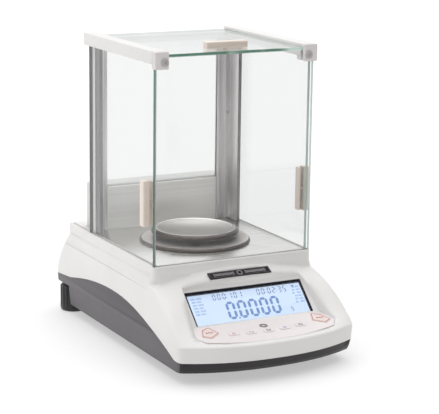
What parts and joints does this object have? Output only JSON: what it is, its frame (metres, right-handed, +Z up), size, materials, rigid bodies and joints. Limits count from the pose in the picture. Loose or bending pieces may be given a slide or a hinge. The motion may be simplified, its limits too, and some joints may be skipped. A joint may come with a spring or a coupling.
{
  "type": "analytical balance",
  "caption": "Bench-top analytical balance: glass draft shield with sliding doors over a round pan, sloped control panel with display and keys, levelling feet.",
  "frame": {"origin": "on the supporting surface, below the middle of the overall bounding box", "axes": "+Z up, +Y towards the back, -Y is the side with the control panel, +X to the right when facing the panel"},
  "size_m": [0.217, 0.368, 0.3479],
  "materials": {
    "white_plastic": "fine satin texture",
    "grey_plastic": "fine satin texture",
    "black_plastic": "satin",
    "handle_plastic": "smooth",
    "cap_plastic": "satin",
    "clear_glass": "polished, edges seen green",
    "aluminium_extrusion": "satin anodised",
    "grey_metal": "semi-gloss",
    "stainless_steel": "fine turned",
    "plain_steel": "zinc plated",
    "cast_aluminium": "as cast",
    "foot_rubber": "matt",
    "display_face": "backlit liquid crystal panel",
    "key_membrane": "fine matt film",
    "key_plastic": "soft domed film",
    "circuit_board": "solder resist",
    "copper_winding": "enamelled wire",
    "magnet_steel": "machined",
    "seal_strip": "matt"
  },
  "bodies": {
    "base": {"upper_housing": "white_plastic", "lower_housing": "grey_plastic", "rear_cover": "white_plastic", "name_badge": "black_plastic", "chamber_floor": "grey_metal", "rear_wall_plate": "grey_metal", "rear_glass": "clear_glass", "front_glass": "clear_glass", "rear_roof_bar": "white_plastic", "left_roof_rail": "white_plastic", "right_roof_rail": "white_plastic", "left_corner_cap": "cap_plastic", "right_corner_cap": "cap_plastic", "left_cap_screw": "plain_steel", "right_cap_screw": "plain_steel", "left_rear_post": "aluminium_extrusion", "right_rear_post": "aluminium_extrusion", "left_post_seal": "seal_strip", "right_post_seal": "seal_strip", "left_door_track": "white_plastic", "right_door_track": "white_plastic", "display_window": "clear_glass", "display_gasket": "black_plastic", "lcd_module": "display_face", "display_board": "circuit_board", "keypad_overlay": "key_membrane", "power_inlet": "black_plastic", "data_port": "plain_steel", "main_board": "circuit_board", "level_housing": "black_plastic", "level_vial": "clear_glass", "weigh_cell_base": "cast_aluminium", "pan_hanger": "cast_aluminium", "upper_guide": "aluminium_extrusion", "lower_guide": "aluminium_extrusion", "lever_beam": "aluminium_extrusion", "magnet_pot": "magnet_steel", "force_coil": "copper_winding", "left_front_foot": "foot_rubber", "right_front_foot": "foot_rubber"},
    "left_door": {"left_door_glass": "clear_glass", "left_door_handle": "handle_plastic"},
    "right_door": {"right_door_glass": "clear_glass", "right_door_handle": "handle_plastic"},
    "top_door": {"top_door_glass": "clear_glass", "top_door_handle": "handle_plastic"},
    "tray": {"drip_tray": "stainless_steel"},
    "support": {"pan_support": "cast_aluminium"},
    "pan": {"weighing_pan": "stainless_steel"},
    "power_button": {"power_key": "key_plastic"},
    "tare_button": {"tare_key": "key_plastic"},
    "calibrate_button": {"calibrate_key": "key_plastic"},
    "count_button": {"count_key": "key_plastic"},
    "unit_button": {"unit_key": "key_plastic"},
    "mode_button": {"mode_key": "key_plastic"},
    "print_button": {"print_key": "key_plastic"},
    "left_stud": {"left_foot_stud": "plain_steel"},
    "left_knob": {"left_foot_knob": "black_plastic"},
    "right_stud": {"right_foot_stud": "plain_steel"},
    "right_knob": {"right_foot_knob": "black_plastic"}
  },
  "joints": [
    {"name": "left_door_slide", "type": "slide", "parent": "base", "child": "left_door", "axis": [0, 1, 0], "range_m": [0, 0.11]},
    {"name": "right_door_slide", "type": "slide", "parent": "base", "child": "right_door", "axis": [0, 1, 0], "range_m": [0, 0.11]},
    {"name": "top_door_slide", "type": "slide", "parent": "base", "child": "top_door", "axis": [0, 1, 0], "range_m": [0, 0.11]},
    {"name": "tray_lift", "type": "slide", "parent": "base", "child": "tray", "axis": [0, 0, 1], "range_m": [0, 0.05]},
    {"name": "support_lift", "type": "slide", "parent": "tray", "child": "support", "axis": [0, 0, 1], "range_m": [0, 0.05]},
    {"name": "pan_lift", "type": "slide", "parent": "support", "child": "pan", "axis": [0, 0, 1], "range_m": [0, 0.06]},
    {"name": "power_press", "type": "slide", "parent": "base", "child": "power_button", "axis": [0, 0.1959, -0.9806], "range_m": [0, 0.0004], "stiffness_N_per_m": 1500, "springref_m": -0.0002},
    {"name": "tare_press", "type": "slide", "parent": "base", "child": "tare_button", "axis": [0, 0.1959, -0.9806], "range_m": [0, 0.0004], "stiffness_N_per_m": 1500, "springref_m": -0.0002},
    {"name": "calibrate_press", "type": "slide", "parent": "base", "child": "calibrate_button", "axis": [0, 0.1959, -0.9806], "range_m": [0, 0.0004], "stiffness_N_per_m": 1500, "springref_m": -0.0002},
    {"name": "count_press", "type": "slide", "parent": "base", "child": "count_button", "axis": [0, 0.1959, -0.9806], "range_m": [0, 0.0004], "stiffness_N_per_m": 1500, "springref_m": -0.0002},
    {"name": "unit_press", "type": "slide", "parent": "base", "child": "unit_button", "axis": [0, 0.1959, -0.9806], "range_m": [0, 0.0004], "stiffness_N_per_m": 1500, "springref_m": -0.0002},
    {"name": "mode_press", "type": "slide", "parent": "base", "child": "mode_button", "axis": [0, 0.1959, -0.9806], "range_m": [0, 0.0004], "stiffness_N_per_m": 1500, "springref_m": -0.0002},
    {"name": "print_press", "type": "slide", "parent": "base", "child": "print_button", "axis": [0, 0.1959, -0.9806], "range_m": [0, 0.0004], "stiffness_N_per_m": 1500, "springref_m": -0.0002},
    {"name": "left_stud_travel", "type": "slide", "parent": "base", "child": "left_stud", "axis": [0, 0, 1], "range_m": [-0.0024, 0.0024]},
    {"name": "left_knob_turn", "type": "hinge", "parent": "left_stud", "child": "left_knob", "pos_m": [-0.0922, 0.1608, 0], "axis": [0, 0, 1], "range_deg": [-720, 720]},
    {"name": "right_stud_travel", "type": "slide", "parent": "base", "child": "right_stud", "axis": [0, 0, 1], "range_m": [-0.0024, 0.0024]},
    {"name": "right_knob_turn", "type": "hinge", "parent": "right_stud", "child": "right_knob", "pos_m": [0.0922, 0.1608, 0], "axis": [0, 0, 1], "range_deg": [-720, 720]}
  ],
  "couplings": [
    {"joint": "left_knob_turn", "follows": "left_stud_travel", "rad_per_m": 5026.5},
    {"joint": "right_knob_turn", "follows": "right_stud_travel", "rad_per_m": 5026.5}
  ]
}
